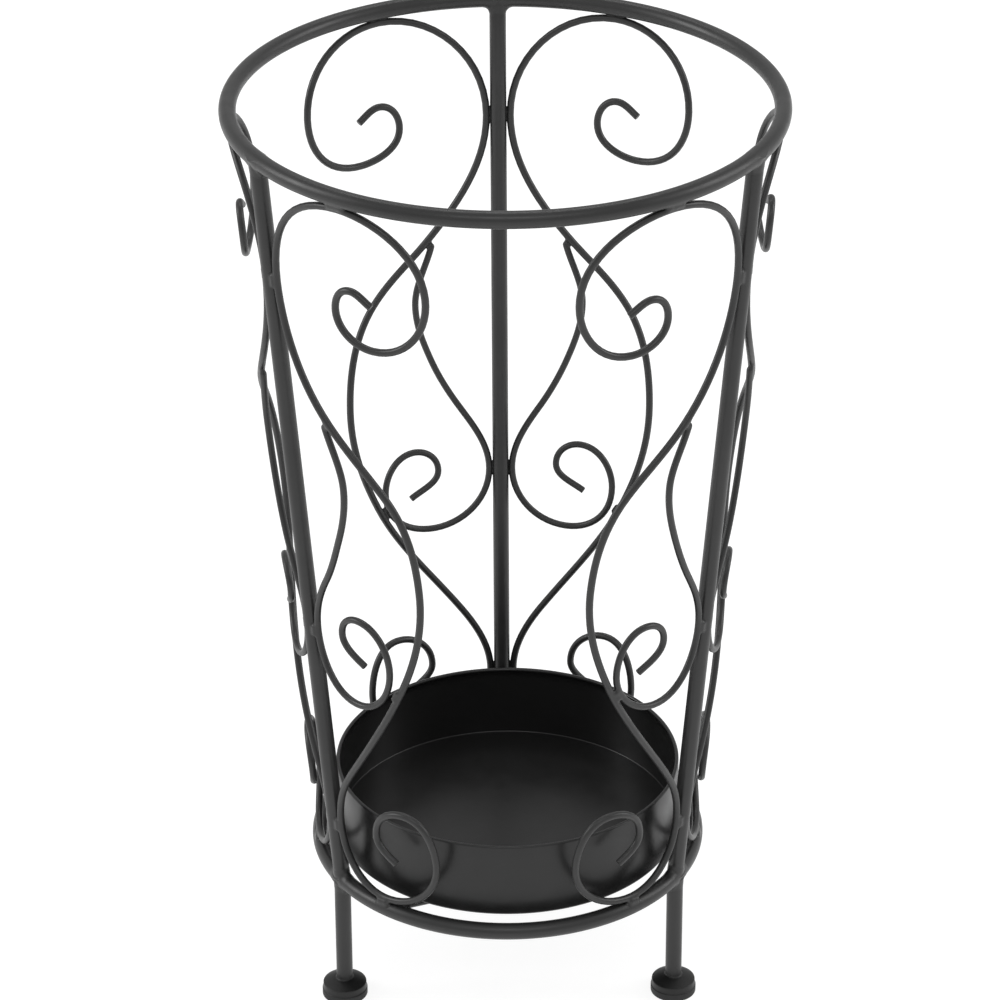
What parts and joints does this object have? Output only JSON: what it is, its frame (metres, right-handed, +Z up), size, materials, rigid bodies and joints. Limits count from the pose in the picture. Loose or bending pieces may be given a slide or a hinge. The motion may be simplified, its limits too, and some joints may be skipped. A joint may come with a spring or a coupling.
{
  "type": "umbrella stand",
  "caption": "Open conical wire umbrella stand on three legs, with mirrored scrollwork panels between posts and a loose round drip tray.",
  "frame": {"origin": "on the floor, on the stand's upright axis", "axes": "+Z up, +Y towards the rear post, +X to the right of someone looking from the front panel, which faces -Y"},
  "size_m": [0.26, 0.2604, 0.46],
  "materials": {
    "frame_coating": "charcoal satin powder coat on steel rod and wire",
    "tray_coating": "black satin powder coat on sheet steel",
    "foot_plastic": "black moulded plastic",
    "pad_rubber": "black rubber glide"
  },
  "bodies": {
    "frame": {"top_ring": "frame_coating", "lower_ring": "frame_coating", "post_rear": "frame_coating", "post_front_left": "frame_coating", "post_front_right": "frame_coating", "leg_rear": "frame_coating", "leg_front_left": "frame_coating", "leg_front_right": "frame_coating", "foot_cap_rear": "foot_plastic", "foot_cap_front_left": "foot_plastic", "foot_cap_front_right": "foot_plastic", "foot_pad_rear": "pad_rubber", "foot_pad_front_left": "pad_rubber", "foot_pad_front_right": "pad_rubber", "large_scroll_left_rear": "frame_coating", "large_scroll_right_rear": "frame_coating", "large_scroll_front_left": "frame_coating", "large_scroll_left_front": "frame_coating", "large_scroll_right_front": "frame_coating", "large_scroll_front_right": "frame_coating", "small_scroll_left_rear": "frame_coating", "small_scroll_right_rear": "frame_coating", "small_scroll_front_left": "frame_coating", "small_scroll_left_front": "frame_coating", "small_scroll_right_front": "frame_coating", "small_scroll_front_right": "frame_coating", "tray_support_front": "frame_coating", "tray_support_rear": "frame_coating", "welds_post_to_top_ring": "frame_coating", "welds_post_to_lower_ring": "frame_coating", "welds_leg_to_lower_ring": "frame_coating", "welds_scroll_to_top_ring": "frame_coating", "welds_scroll_to_lower_ring": "frame_coating", "welds_scroll_to_post_high": "frame_coating", "welds_scroll_to_post_low": "frame_coating", "welds_small_scroll_to_post": "frame_coating", "welds_small_scroll_top": "frame_coating", "welds_small_scroll_to_large": "frame_coating", "welds_tray_support": "frame_coating"},
    "tray": {"drip_tray": "tray_coating"}
  },
  "joints": [
    {"name": "tray_lift", "type": "slide", "parent": "frame", "child": "tray", "axis": [0, 0, 1], "range_m": [0, 0.4]}
  ]
}
